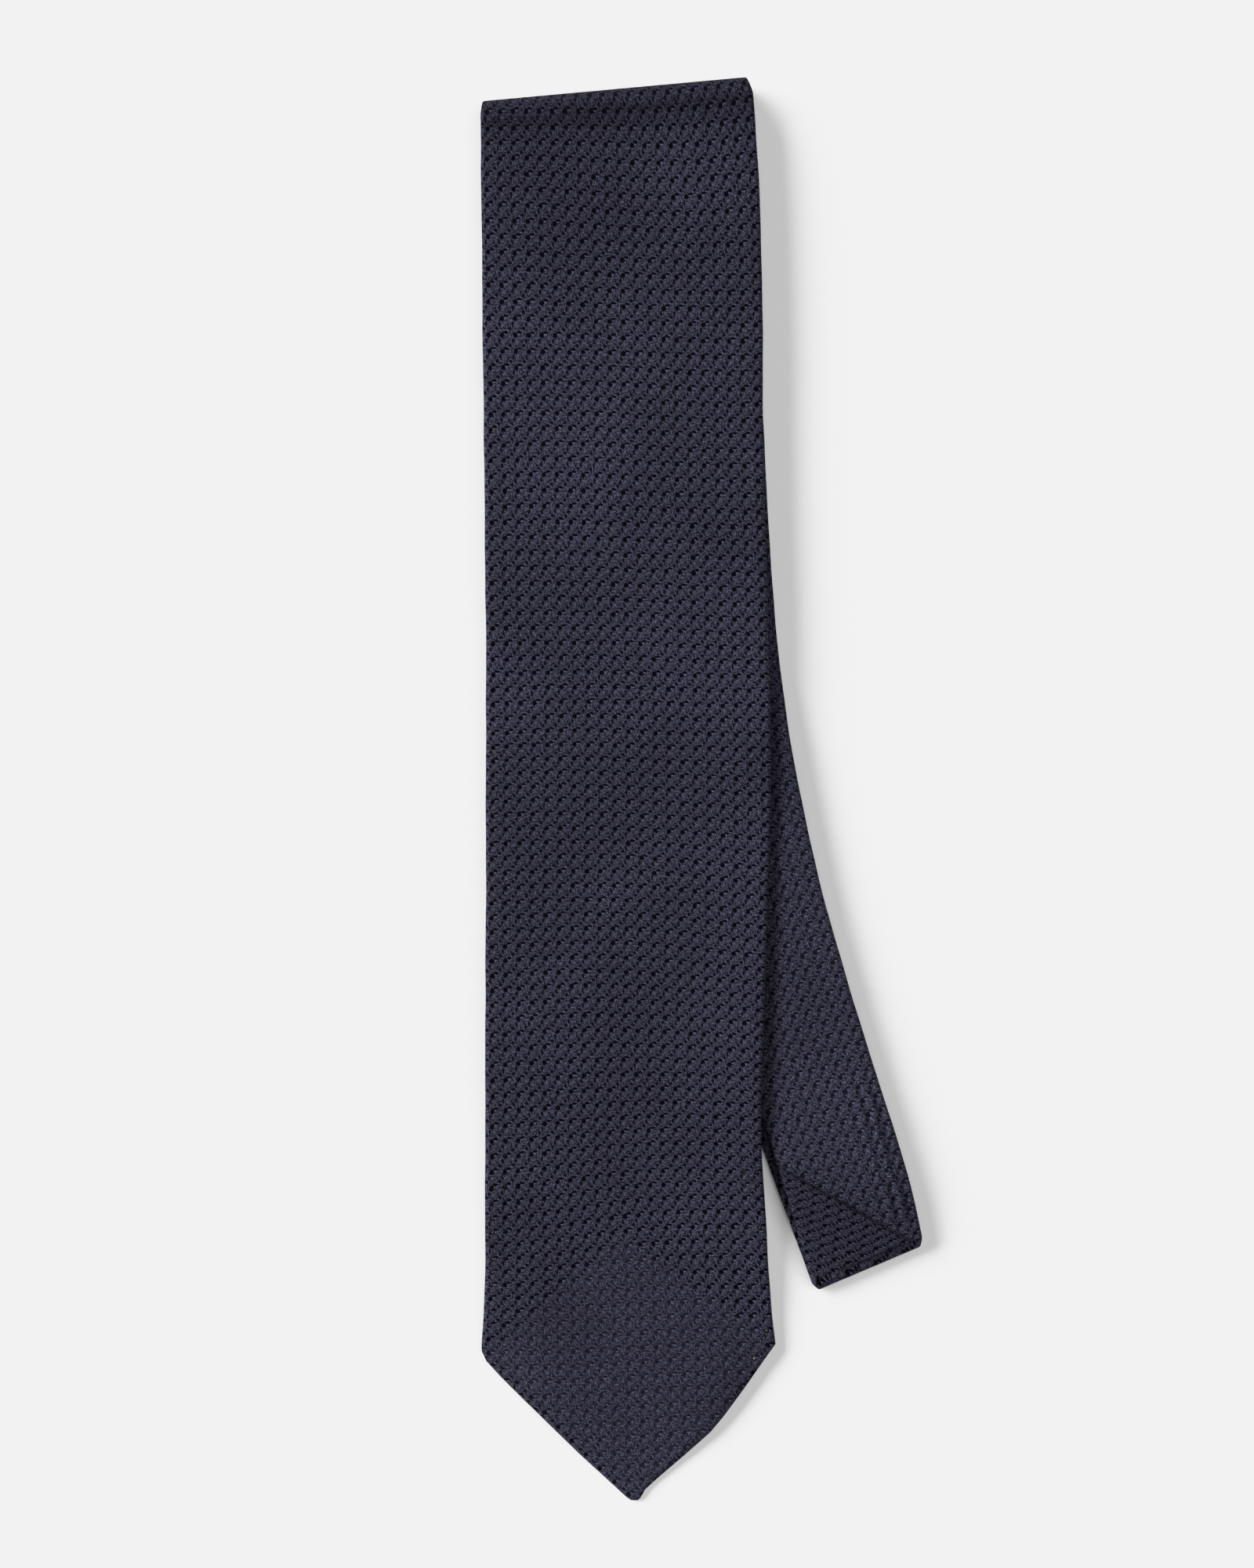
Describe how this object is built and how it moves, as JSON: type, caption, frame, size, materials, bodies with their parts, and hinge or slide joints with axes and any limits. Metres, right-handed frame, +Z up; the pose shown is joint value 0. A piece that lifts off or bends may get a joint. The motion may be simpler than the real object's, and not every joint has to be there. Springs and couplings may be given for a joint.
{
  "type": "necktie",
  "caption": "Dark navy necktie in open grenadine weave, folded in four and lying flat, with pointed blade and tail ends, lined tips and a keeper loop.",
  "frame": {"origin": "on the table, in the middle of the folded tie's outline", "axes": "+Z up from the table, +Y along the tie from the blade's point to the top fold, +X to the side where the neck strip fans out"},
  "size_m": [0.1284, 0.4097, 0.012],
  "materials": {
    "grenadine_silk": "satin",
    "wool_interlining": "matte",
    "lining": "satin",
    "sewing_thread": "satin"
  },
  "bodies": {
    "folded_tie": {"blade_shell_back": "grenadine_silk", "blade_shell_fold": "grenadine_silk", "neck_shell": "grenadine_silk", "tail_shell": "grenadine_silk", "interlining_back": "wool_interlining", "interlining_fold": "wool_interlining", "tail_tipping": "lining", "slip_stitch_back": "sewing_thread", "slip_stitch_fold": "sewing_thread", "bar_tack_tail": "sewing_thread", "join_seam_blade": "sewing_thread", "join_seam_tail": "sewing_thread"},
    "front_blade": {"blade_shell_front": "grenadine_silk", "interlining_front": "wool_interlining", "blade_tipping": "lining", "slip_stitch_front": "sewing_thread", "bar_tack_blade": "sewing_thread", "keeper_loop": "grenadine_silk"}
  },
  "joints": [
    {"name": "blade_fold", "type": "hinge", "parent": "folded_tie", "child": "front_blade", "pos_m": [-0.0249, 0.1954, 0.006], "axis": [-0.9959, -0.0906, 0], "range_deg": [0, 180], "deforming": ["blade_shell_fold", "interlining_fold", "slip_stitch_fold"]}
  ]
}
